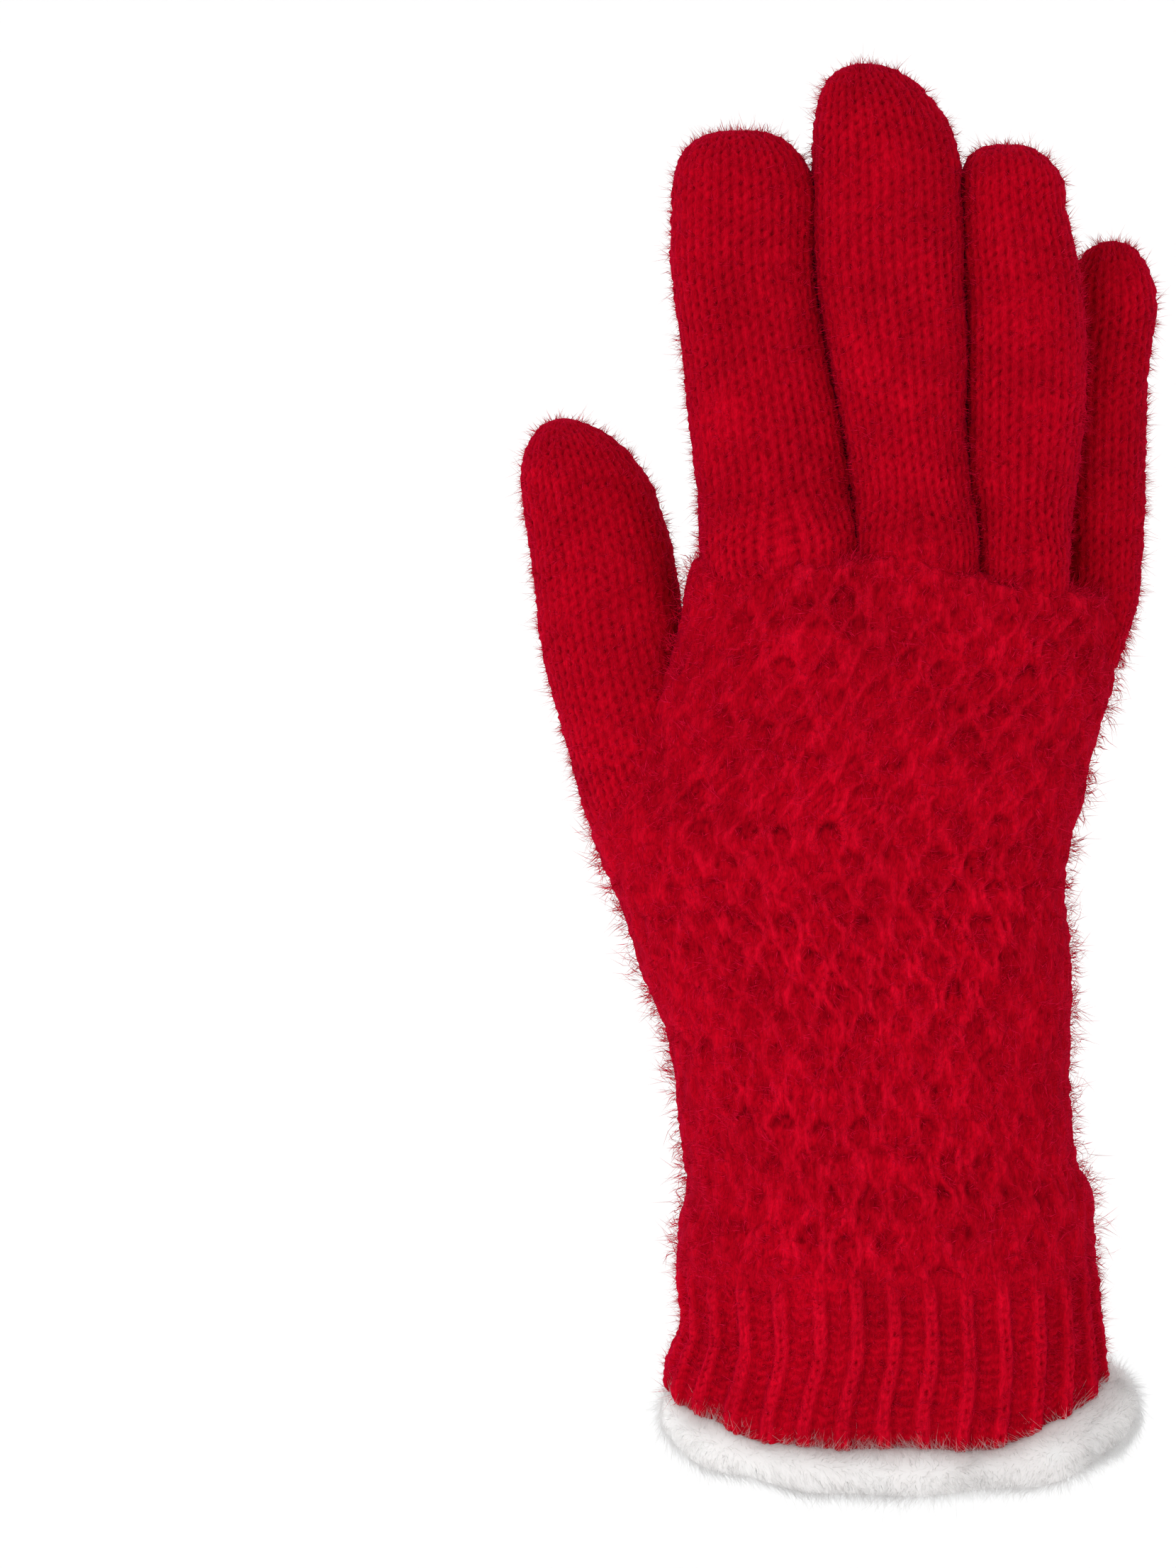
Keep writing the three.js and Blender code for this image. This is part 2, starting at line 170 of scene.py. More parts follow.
def honeycombKnit(cell, row, thick):
    # Strands of yarn stand half a cell apart, and each sways by a sine of the height, against its neighbours.
    # Where two meet they make a node of the net, painted bright as a highlight, and where two part they leave
    # a cell, some with a pit or an arch. Gives the height and the tone of the yarn; the tone is painted shade
    # where the yarn lies low and a painted highlight where it stands high.
    strand = cell * 2
    gap = np.floor(strand)
    odd = np.mod(gap, 2)
    swing = np.sin(np.pi * row)
    clear = np.ones(np.broadcast(cell, row).shape)
    for step in (-1, 0, 1, 2):
        line = gap + step
        centre = line + honeycomb["sway"] * swing * (1 - 2 * np.mod(line, 2))
        away = (strand - centre) * honeycomb["cell"] / 2
        clear = clear * (1 - np.exp(-(away / thick) ** 2))
    net = 1 - clear
    node = net * np.abs(swing) ** 1.5
    fromLow = row - 0.5 + odd
    above = (np.mod(fromLow, 2) - 1) * honeycomb["row"]
    side = np.abs(strand - gap - 0.5) * honeycomb["cell"] / 2
    # own is a random number from 0 to 1 for each cell: the fraction of a large sine of the cell's place
    own = np.sin(gap * 12.9898 + np.floor(fromLow / 2) * 78.233) * 43758.5453
    own = own - np.floor(own)
    sink = clear * smoothstep((2 * odd - 1) * swing, -0.3, 0.8) * (0.5 + 0.5 * own)
    # shade deepens the painted shade in a sunk cell towards its top, under the strand above
    shade = 0.75 + 0.16 * np.clip(above, -2.5, 2.5)
    pit, bow = honeycomb["hole"], honeycomb["arch"]
    # hole darkens a pit in the tone: painted shade inside it
    hole = np.exp(-((above - pit["up"] + pit["upVary"] * own) / pit["tall"]) ** 2)
    hole = hole * np.exp(-((side - pit["side"] - pit["sideVary"] * own) / pit["wide"]) ** 2)
    hole = hole * smoothstep(own, *pit["shown"])
    # arch is a painted shadow under the strand that bows over a cell
    arch = np.exp(-((above - bow["up"] + bow["curve"] * side ** 2) / bow["tall"]) ** 2)
    arch = arch * np.exp(-(side / bow["wide"]) ** 2)
    arch = arch * smoothstep(np.mod(own * 3.7, 1), *bow["shown"])
    yarn = plainKnit(cell * 2 + 0.5, row * honeycomb["row"] / knit["course"])
    # between paints shade into the gaps beside the stitches' legs
    between = smoothstep(0.5 - yarn, 0, 0.35) * (0.2 + 0.8 * np.mod(own * 7.3, 1))
    rise, tint = honeycomb["height"], honeycomb["tone"]
    height = rise["net"] * net + rise["node"] * node - rise["sink"] * sink - rise["hole"] * hole
    height = height - rise["arch"] * arch + rise["yarn"] * (yarn - 0.75)
    # the tone is painted light: highlight on the net and nodes, shade in sunk cells, pits, arches and gaps
    tone = tint["base"] + tint["net"] * net + tint["node"] * node - tint["sink"] * sink * shade
    tone = tone + tint["yarn"] * (yarn - 0.72)
    tone = tone - tint["hole"] * hole - tint["arch"] * arch - tint["between"] * between
    return height, np.clip(tone, 0, 1)


# Meshes

def addObject(name, data):
    thing = bpy.data.objects.new(name, data)
    bpy.context.scene.collection.objects.link(thing)
    return thing


def makeObject(name, points, faces, material, fields, replaced=(), uv=None):
    # faces is a list of index arrays, one for each corner count; uv is one pair for each face corner, and a
    # field one value for each point
    mesh = bpy.data.meshes.new(name)
    mesh.vertices.add(len(points))
    mesh.vertices.foreach_set("co", np.ascontiguousarray(points * mm, dtype=np.float32).ravel())
    corners = np.concatenate([f.ravel() for f in faces]).astype(np.int32)
    sizes = np.concatenate([np.full(len(f), f.shape[1]) for f in faces])
    mesh.loops.add(len(corners))
    mesh.loops.foreach_set("vertex_index", corners)
    mesh.polygons.add(len(sizes))
    starts = np.concatenate([[0], np.cumsum(sizes)[:-1]]).astype(np.int32)
    mesh.polygons.foreach_set("loop_start", starts)
    mesh.polygons.foreach_set("use_smooth", np.ones(len(sizes), dtype=bool))
    if uv is not None:
        layer = mesh.uv_layers.new(name="knit")
        layer.data.foreach_set("uv", np.ascontiguousarray(uv, dtype=np.float32).ravel())
    for field, values in fields.items():
        attribute = mesh.attributes.new(field, "FLOAT", "POINT")
        attribute.data.foreach_set("value", np.ascontiguousarray(values, dtype=np.float32).ravel())
    mesh.update(calc_edges=True)
    mesh.materials.append(material)
    piece = addObject(name, mesh)
    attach(piece, "root")
    if replaced:
        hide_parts(*replaced)
    print(name, "triangles:", int(np.sum(sizes - 2)))


def bandFaces(rowCount, columnCount, closed):
    # quads between neighbouring rows of a grid that closes round its columns, and with closed round its rows
    k = np.arange(rowCount if closed else rowCount - 1)[:, None]
    i = np.arange(columnCount)[None, :]
    up, right = (k + 1) % rowCount, (i + 1) % columnCount
    a, b = k * columnCount + i, k * columnCount + right
    c, d = up * columnCount + right, up * columnCount + i
    quads = np.stack(np.broadcast_arrays(a, b, c, d), axis=-1).reshape(-1, 4)
    steps = ((0, 0), (1, 0), (1, 1), (0, 1))
    corner = np.stack([np.stack(np.broadcast_arrays(i + di, k + dk), axis=-1) for di, dk in steps], axis=-2)
    return quads, corner.reshape(-1, 2)


def knitShell(node, outer, inner, material, relief, pitch, poles=None):
    # a closed wall: inner rows from the top down, outer rows from the bottom up; poles close a finger's tip
    rows = np.concatenate([inner[::-1], outer])
    rowCount, columnCount = rows.shape[:2]
    points = rows.reshape(-1, 3)
    # the inner wall gets one low tone, painted shade inside the glove; the outer wall takes the stitches' tone
    field = np.concatenate([np.full(inner.shape[:2], knit["insideShade"]), relief]).ravel()
    quads, corner = bandFaces(rowCount, columnCount, closed=poles is None)
    pitch = np.array(pitch) * mm
    faces, uv = [quads], corner * pitch
    if poles is not None:
        first, last = len(points), len(points) + 1
        points = np.concatenate([points, poles])
        field = np.concatenate([field, [knit["insideShade"], knit["tipRelief"]]])
        i = np.arange(columnCount)
        nextOne = (i + 1) % columnCount
        top = (rowCount - 1) * columnCount
        faces.append(np.concatenate([
            np.stack([np.full_like(i, first), nextOne, i], axis=-1),
            np.stack([top + i, top + nextOne, np.full_like(i, last)], axis=-1),
        ]))
        capUv = np.zeros((2 * columnCount, 3, 2))
        capUv[:, :, 1] = rowCount
        capUv[:, :, 0] = np.tile(i, 2)[:, None]
        uv = np.concatenate([uv, capUv.reshape(-1, 2) * pitch])
    makeObject("knit_" + node, points, faces, material, {"relief": field}, (node,), uv)


def ringOfThree(middle, axis, radius):
    # three points round the middle line of a fibre
    axis = axis / np.linalg.norm(axis, axis=1, keepdims=True)
    helper = np.where(np.abs(axis[:, 2:]) < 0.8, [[0.0, 0.0, 1.0]], [[1.0, 0.0, 0.0]])
    side = np.cross(axis, helper)
    side /= np.linalg.norm(side, axis=1, keepdims=True)
    other = np.cross(axis, side)
    turns = np.array([0, 2, 4]) * np.pi / 3
    ring = np.cos(turns)[None, :, None] * side[:, None] + np.sin(turns)[None, :, None] * other[:, None]
    return middle[:, None] + ring * radius[:, None, None]


def makeFibres(name, points, pattern, tone, material):
    # points holds the few corners of each fibre, pattern the faces between them, the same on every fibre
    corners = points.shape[1]
    faces = (np.arange(len(points))[:, None, None] * corners + np.array(pattern)[None]).reshape(-1, 3)
    makeObject(name, points.reshape(-1, 3), [faces], material, {"tone": np.repeat(tone, corners)})


def bentFibres(name, roots, first, second, radius, tone, material):
    # each fibre is a closed spindle with one bend: a root point, a ring of three and a tip point
    middle = roots + first
    ring = ringOfThree(middle, first + second, radius)
    points = np.concatenate([roots[:, None], ring, (middle + second)[:, None]], axis=1)
    pattern = [(0, 2, 1), (0, 3, 2), (0, 1, 3), (1, 2, 4), (2, 3, 4), (3, 1, 4)]
    makeFibres(name, points, pattern, tone, material)


def straightFibres(name, roots, reach, radius, tone, material):
    # each fibre is a closed spike: a ring of three at the root and a tip point
    ring = ringOfThree(roots, reach, radius)
    points = np.concatenate([ring, (roots + reach)[:, None]], axis=1)
    pattern = [(0, 2, 1), (0, 1, 3), (1, 2, 3), (2, 0, 3)]
    makeFibres(name, points, pattern, tone, material)


def pickOnGrid(points, normals, count, weight=None):
    # random places on a grid: a row and column drawn by area and weight, then a blend with the next ones
    du = np.linalg.norm(np.roll(points, -1, axis=1) - points, axis=-1)[:-1]
    dv = np.linalg.norm(np.diff(points, axis=0), axis=-1)
    area = du * dv if weight is None else du * dv * weight[:-1]
    share = np.cumsum(area.ravel())
    spot = np.searchsorted(share, rng.random(count) * share[-1])
    k, i = np.unravel_index(spot, area.shape)
    right = (i + 1) % points.shape[1]
    s, t = rng.random((2, count, 1))

    def blend(grid):
        low = grid[k, i] * (1 - s) + grid[k, right] * s
        return low * (1 - t) + (grid[k + 1, i] * (1 - s) + grid[k + 1, right] * s) * t

    where, out = blend(points), blend(normals)
    return where, out / np.linalg.norm(out, axis=1, keepdims=True)


# How the yarn is brushed. Sweep carries a hair along the surface: in slow waves, by tufts and hair by hair.
# Short hairs are also thicker and steeper. A hair has a root part and a tip part. A piece's own pile may say
# otherwise.
brushing = {
    "lift": 0.75, "lay": 0.55, "radius": 0.045, "short": 0.55, "gather": 0.1, "bent": False, "weight": None,
    "waveSize": 14, "waveSeeds": (3, 4, 5), "waveSweep": 0.7, "tuftSweep": 0.55, "hairSweep": 0.45,
    "tuftLengths": 0.3, "hairLengths": 0.25, "longest": 1.8,
    "shortLength": 0.56, "shortLift": 1.6, "shortRadius": 2.0,
    "lifts": (0.4, 1.3), "radii": (0.7, 1.25), "rootPart": 0.45, "tipPart": 0.55, "tipLift": 0.6,
    "tipStray": 0.18, "sunk": 0.4,
}


def sweepWaves(where, settings):
    # slow waves that carry neighbouring hairs the same way: soft noise of its own in x, y and z
    waves = [softNoise(where, settings["waveSize"], seed) for seed in settings["waveSeeds"]]
    return np.stack(waves, axis=-1) * settings["waveSweep"]


def growPile(name, points, normals, pile, material):
    # tufts of fine hairs: each leaves the yarn near the normal, bends over and lies the way it is brushed
    pile = {**brushing, **pile}
    where, out = pickOnGrid(points, normals, pile["tufts"], pile["weight"])
    hairs = pile["hairs"]
    count = len(where) * hairs
    tuftSweep = sweepWaves(where, pile)
    tuftSweep += rng.normal(0, pile["tuftSweep"], where.shape)
    tuftLength = rng.lognormal(0, pile["tuftLengths"], (len(where), 1))
    offset = rng.normal(0, pile["spread"], (count, 3))
    where = np.repeat(where, hairs, axis=0) + offset
    out = np.repeat(out, hairs, axis=0)
    sweep = np.repeat(tuftSweep, hairs, axis=0) + rng.normal(0, pile["hairSweep"], (count, 3))
    sweep -= out * np.sum(sweep * out, axis=1, keepdims=True)
    short = rng.random((count, 1)) < pile["short"]
    length = pile["length"] * np.repeat(tuftLength, hairs, axis=0)
    length = length * rng.lognormal(0, pile["hairLengths"], (count, 1))
    length = np.minimum(length, pile["longest"] * pile["length"])
    length = length * np.where(short, pile["shortLength"], 1)
    lift = pile["lift"] * rng.uniform(*pile["lifts"], (count, 1))
    lift = lift * np.where(short, pile["shortLift"], 1)
    first = out * lift + sweep * pile["lay"]
    first *= pile["rootPart"] * length / np.linalg.norm(first, axis=1, keepdims=True)
    second = out * lift * pile["tipLift"] + sweep * pile["lay"]
    second += rng.normal(0, pile["tipStray"], (count, 3))
    second *= pile["tipPart"] * length / np.linalg.norm(second, axis=1, keepdims=True)
    second -= pile["gather"] * offset
    radius = pile["radius"] * rng.uniform(*pile["radii"], count)
    radius = radius * np.where(short[:, 0], pile["shortRadius"], 1)
    roots, tone = where - out * pile["sunk"], rng.random(count)
    if pile["bent"]:
        bentFibres(name, roots, first, second, radius, tone, material)
    else:
        straightFibres(name, roots, first + second, radius, tone, material)


# Materials

def linearColour(hexCode):
    # an sRGB hex value as a linear colour
    parts = np.array([int(hexCode[i:i + 2], 16) for i in (0, 2, 4)]) / 255
    linear = np.where(parts <= 0.04045, parts / 12.92, ((parts + 0.055) / 1.055) ** 2.4)
    return (*map(float, linear), 1.0)


def addNode(tree, kind, links=(), inputs=None, **settings):
    # adds a shader node and sets it up; a link is another node, its output and the input it goes to
    node = tree.nodes.new("ShaderNode" + kind)
    for key, value in settings.items():
        setattr(node, key, value)
    for key, value in (inputs or {}).items():
        node.inputs[key].default_value = value
    for source, output, key in links:
        tree.links.new(source.outputs[output], node.inputs[key])
    return node


def newMaterial(name):
    material = bpy.data.materials.new(name)
    material.use_nodes = True
    tree = material.node_tree
    tree.nodes.clear()
    return material, tree


def setRamp(node, stops):
    ramp = node.color_ramp
    while len(ramp.elements) < len(stops):
        ramp.elements.new(0.5)
    for element, (position, hexCode) in zip(ramp.elements, stops):
        element.position = position
        element.color = linearColour(hexCode)


def brushedYarn():
    # acrylic and wool yarn, knitted and brushed: no gloss, a bloom of fibre, and shade painted dark into the
    # holes between the stitches.
    # Its fibres are drawn hairMm wide, coarser than the real ones, so that they show.
    look = {
        # the ramp by relief is painted light: painted shade in the holes at 0, a painted highlight on the
        # crests at 1
        "shadeByRelief": [(0.0, "4A0007"), (0.3, "880011"), (0.62, "AE0218"), (1.0, "CE0826")], "bloom": "E00C5C",
        "patchMm": 13, "patchShade": (0.90, 1.19), "warpMm": 6, "warpByMm": 2,
        "hairMm": 0.42, "hairShade": (0.76, 1.22), "hairStretch": 0.25, "hairLean": 0.35, "bumpMm": 0.3,
    }
    material, tree = newMaterial("brushedYarn")
    relief = addNode(tree, "Attribute", attribute_name="relief")
    depth = addNode(tree, "ValToRGB", [(relief, "Fac", "Fac")])
    setRamp(depth, look["shadeByRelief"])
    place = addNode(tree, "TexCoord")
    patch = addNode(tree, "TexNoise", [(place, "Object", "Vector")],
                    {"Scale": 1 / (look["patchMm"] * mm), "Detail": 3.0, "Roughness": 0.6})
    dim, bright = look["patchShade"]
    shade = addNode(tree, "MapRange", [(patch, "Fac", "Value")],
                    {"From Min": 0.3, "From Max": 0.7, "To Min": dim, "To Max": bright})
    warp = addNode(tree, "TexNoise", [(place, "Object", "Vector")],
                   {"Scale": 1 / (look["warpMm"] * mm), "Detail": 1.0})
    bent = addNode(tree, "VectorMath", [(warp, "Color", 0), (place, "Object", 2)],
                   {1: (look["warpByMm"] * mm,) * 3}, operation="MULTIPLY_ADD")
    stretched = addNode(tree, "Mapping", [(bent, "Vector", "Vector")],
                        {"Scale": (1.0, 1.0, look["hairStretch"]), "Rotation": (0.0, look["hairLean"], 0.0)})
    hairs = addNode(tree, "TexNoise", [(stretched, "Vector", "Vector")],
                    {"Scale": 1 / (look["hairMm"] * mm), "Detail": 2.0, "Roughness": 0.7})
    dim, bright = look["hairShade"]
    streak = addNode(tree, "MapRange", [(hairs, "Fac", "Value")],
                     {"From Min": 0.35, "From Max": 0.68, "To Min": dim, "To Max": bright})
    both = addNode(tree, "Math", [(shade, "Result", 0), (streak, "Result", 1)], operation="MULTIPLY")
    colour = addNode(tree, "VectorMath", [(depth, "Color", 0), (both, "Value", "Scale")], operation="SCALE")
    bump = addNode(tree, "Bump", [(hairs, "Fac", "Height")],
                   {"Strength": 0.5, "Distance": look["bumpMm"] * mm})
    shader = addNode(tree, "BsdfPrincipled",
                     [(colour, "Vector", "Base Color"), (bump, "Normal", "Normal")],
                     {"Roughness": 0.95, "IOR": 1.5, "Specular IOR Level": 0.02, "Sheen Weight": 0.5,
                      "Sheen Roughness": 0.4, "Sheen Tint": linearColour(look["bloom"])})
    addNode(tree, "OutputMaterial", [(shader, "BSDF", "Surface")])
    return material


def looseHair(name, dark, light, sheen, glow):
    # wool fibres brushed out of the yarn, or polyester plush: matt threads, each of its own tone between dark
    # and light. glow is the light that soaks through the white ones, which evens out their shade.
    material, tree = newMaterial(name)
    tone = addNode(tree, "Attribute", attribute_name="tone")
    colour = addNode(tree, "ValToRGB", [(tone, "Fac", "Fac")])
    setRamp(colour, [(0.0, dark), (1.0, light)])
    shader = addNode(tree, "BsdfPrincipled", [(colour, "Color", "Base Color")],
                     {"Roughness": 0.9, "IOR": 1.5, "Specular IOR Level": 0.02, "Sheen Weight": sheen,
                      "Sheen Roughness": 0.5, "Sheen Tint": linearColour(light), "Subsurface Weight": glow,
                      "Subsurface Radius": (1.0, 1.0, 1.0), "Subsurface Scale": 6 * mm})
    addNode(tree, "OutputMaterial", [(shader, "BSDF", "Surface")])
    return material


def paleFloor():
    # white background paper, pressed smooth: a matt pale ground with hardly any grain
    material, tree = newMaterial("paperSweep")
    place = addNode(tree, "TexCoord")
    grain = addNode(tree, "TexNoise", [(place, "Object", "Vector")], {"Scale": 900.0})
    bump = addNode(tree, "Bump", [(grain, "Fac", "Height")], {"Strength": 0.02, "Distance": 0.2 * mm})
    shader = addNode(tree, "BsdfPrincipled", [(bump, "Normal", "Normal")],
                     {"Base Color": linearColour("FAFAFA"), "Roughness": 0.95})
    addNode(tree, "OutputMaterial", [(shader, "BSDF", "Surface")])
    return material


# Fingers

# Each finger's sections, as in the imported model: z, left, right, front, back. snug widens its left and right
# side up to its neighbours, and knuckle lifts its back over the root.
fingers = {
    "index_finger": {
        "tip": {"x": -29.0, "y": 4.5, "z": 251.8, "power": 2.5, "lean": 2.0},
        "root": 160, "crotch": 175, "wales": 21, "snug": (0, 0.7), "knuckle": 2.6,
        "rows": [
            (160, -34.6, -6.8, -12.2, 11.8),
            (176, -35.9, -7.3, -12.2, 12.2),
            (192, -37.7, -9.1, -11.8, 12.4),
            (208, -39.2, -12.2, -11.0, 12.8),
            (224, -41.2, -14.5, -9.4, 14.0),
            (236, -41.4, -14.4, -7.6, 15.2),
        ],
    },
    "middle_finger": {
        "tip": {"x": -4.7, "y": 3.5, "z": 264.6, "power": 2.15, "lean": 2.0},
        "root": 160, "crotch": 174, "wales": 20, "snug": (0.6, 0.5), "knuckle": 1.8,
        "rows": [
            (160, -6.2, 15.6, -13.6, 10.4),
            (176, -6.7, 15.6, -13.8, 10.4),
            (192, -8.5, 13.9, -13.8, 10.4),
            (208, -11.6, 14.2, -13.2, 11.0),
            (224, -13.9, 13.7, -12.0, 12.0),
            (241, -13.8, 13.1, -9.8, 13.4),
        ],
    },
    "ring_finger": {
        "tip": {"x": 22.8, "y": 5.0, "z": 249.1, "power": 2.5, "lean": 2.0},
        "root": 156, "crotch": 171, "wales": 18, "snug": (0.5, 0.3), "knuckle": 2.6,
        "rows": [
            (152, 17.0, 32.8, -11.0, 9.0),
            (171, 16.8, 33.2, -11.4, 9.2),
            (184, 14.9, 35.4, -11.6, 9.2),
            (200, 14.6, 36.9, -11.2, 9.8),
            (216, 14.7, 36.8, -10.4, 10.8),
            (228, 14.2, 35.6, -9.0, 12.0),
            (237, 14.1, 33.6, -7.6, 12.8),
        ],
    },
    "little_finger": {
        "tip": {"x": 44.3, "y": 15.0, "z": 232.4, "power": 2.05, "lean": 2.0},
        "root": 149, "crotch": 160, "wales": 15, "snug": (0.3, 0), "knuckle": 1.0,
        "rows": [
            (148, 28.6, 42.4, -3.4, 10.4),
            (155, 31.4, 45.0, -3.2, 11.6),
            (163, 33.6, 47.6, -2.6, 13.2),
            (177, 33.6, 49.3, -1.0, 15.6),
            (190, 33.6, 50.2, 1.4, 18.6),
            (204, 34.0, 50.8, 3.2, 20.6),
            (218, 35.4, 52.9, 5.2, 22.8),
        ],
    },
    "thumb": {
        "tip": {"x": -62.2, "y": 18.0, "z": 198.3, "power": 1.8, "lean": 1.2},
        "root": 113, "crotch": 113, "wales": 22,
        "rows": [
            (112, -52.4, -26.0, -11.0, 18.0),
            (120, -57.4, -29.0, -10.6, 18.6),
            (128, -59.9, -32.4, -9.6, 19.0),
            (144, -64.2, -36.4, -6.6, 20.0),
            (156, -66.7, -38.9, -4.0, 21.4),
            (169, -68.0, -40.5, -1.0, 23.6),
            (181, -69.7, -43.7, 2.2, 26.0),
        ],
    },
}

# What all fingers share. flare is where the root's fuller section begins and ends, measured from the crotch.
fingerStyle = {
    "walePitch": 4.1, "columnsInWale": 6, "rowStep": 0.6, "dome": 8, "innerRows": 9, "poleSunk": 0.1,
    "squareness": 2.15, "flare": (-15, -7, -4, 9), "flareWide": 0.45, "flareSquare": 1.1,
    "tipFade": (0.1, 0.55), "tone": 0.64, "contrast": 0.55,
    "waleNoise": [(0.05, 9, 11)], "courseNoise": [(0.12, 11, 12)],
    "lumps": [(0.35, 17, 13), (0.2, 6, 14), (*fluff, 15)],
    "toneNoise": [(0.06, 3, 16)], "veilNoise": [(0.25, 9, 17)],
}

fingerPile = {"density": 0.34, "hairs": 4, "spread": 0.35, "length": 2.6, "lift": 0.95, "short": 0.65}


def fingerForm(finger, grow, rowCount, columnCount):
    # level sections up to the last table row, then a dome: rows stand at equal distances along the side
    rows = np.array(finger["rows"], float)
    tip = finger["tip"]
    shoulderZ = rows[-1, 0]
    samples = 300
    rise = np.sin(np.linspace(0, np.pi / 2, samples))[1:]
    below = np.linspace(finger["root"], shoulderZ, samples)
    z = np.concatenate([below, shoulderZ + (tip["z"] + grow - shoulderZ) * rise])
    share = np.concatenate([np.zeros(samples), rise])
    half = (rows[-1, 2] - rows[-1, 1]) / 2 + grow
    narrow = (1 - share ** tip["power"]) ** (1 / tip["power"])
    reach = np.concatenate([[0], np.cumsum(np.hypot(np.diff(z), half * np.diff(narrow)))])
    even = np.linspace(0, reach[-1], rowCount + 1)[:-1]
    z, share = np.interp(even, reach, z), np.interp(even, reach, share)
    narrow = (1 - share ** tip["power"]) ** (1 / tip["power"])
    left, right, front, back = readTable(finger["rows"], z)
    snugLeft, snugRight = finger.get("snug", (0, 0))
    left, right = left - snugLeft, right + snugRight
    starts, full, fades, ends = (finger["crotch"] + past for past in fingerStyle["flare"])
    flare = (1 - smoothstep(z, fades, ends)) * smoothstep(z, starts, full)
    front = front - finger.get("knuckle", 0) * flare
    lean = share ** tip["lean"]
    middleX = (left + right) / 2 * (1 - lean) + tip["x"] * lean
    middleY = (front + back) / 2 * (1 - lean) + tip["y"] * lean
    halfWidth = ((right - left) / 2 + grow + fingerStyle["flareWide"] * flare) * narrow
    halfDepth = ((back - front) / 2 + grow) * narrow
    squareness = fingerStyle["squareness"]
    turn = evenAngles(halfWidth.max(), halfDepth.max(), squareness, np.arange(columnCount) / columnCount)
    power = (squareness + fingerStyle["flareSquare"] * flare)[:, None]
    x, y = squaredEllipse(turn[None], halfWidth[:, None], halfDepth[:, None], power)
    height = np.broadcast_to(z[:, None], x.shape)
    points = np.stack([middleX[:, None] + x, middleY[:, None] + y, height], axis=-1)
    return points, even, narrow, np.array([[tip["x"], tip["y"], tip["z"] + grow]])


def makeFinger(node, material, hairMaterial):
    # a plain-knit tube: its stitches sink from the outline, and fade out where the wales gather at the tip
    finger = fingers[node]
    girth = finger["wales"] * fingerStyle["walePitch"]
    columns = finger["wales"] * fingerStyle["columnsInWale"]
    step = (girth / columns, fingerStyle["rowStep"])
    tall = finger["tip"]["z"] - finger["root"] + fingerStyle["dome"]
    plain, reach, narrow, pole = fingerForm(finger, 0, int(tall / step[1]), columns)
    normals = gridNormals(plain)
    wale = (np.arange(columns) / columns * finger["wales"])[None, :]
    course = (reach / knit["course"])[:, None]
    wale = addNoise(wale, plain, fingerStyle["waleNoise"])
    course = addNoise(course, plain, fingerStyle["courseNoise"])
    relief = plainKnit(wale, course)
    fade = smoothstep(narrow, *fingerStyle["tipFade"])[:, None]
    relief = relief * fade + knit["tipRelief"] * (1 - fade)
    lump = addNoise(0, plain, fingerStyle["lumps"])
    outer = plain + normals * ((relief - knit["level"]) * knit["depth"] + lump * fade)[..., None]
    # the stitches' tone is painted shade in their gaps and a painted highlight on their legs; the veil of hair
    # over the yarn takes some of that contrast away
    veil = addNoise(0.85, plain, fingerStyle["veilNoise"]) * (0.6 + 0.4 * fade)
    relief = fingerStyle["tone"] + fingerStyle["contrast"] * (relief - 0.78) * veil
    relief = addNoise(relief, plain, fingerStyle["toneNoise"])
    inner, _, _, innerPole = fingerForm(finger, -knit["wall"], fingerStyle["innerRows"], columns)
    poles = np.concatenate([innerPole, pole - [0, 0, fingerStyle["poleSunk"]]])
    knitShell(node, outer, inner, material, relief, step, poles)
    pile = dict(fingerPile, tufts=int(fingerPile["density"] * girth * tall))
    growPile("pile_" + node, outer, normals, pile, hairMaterial)


# Hand

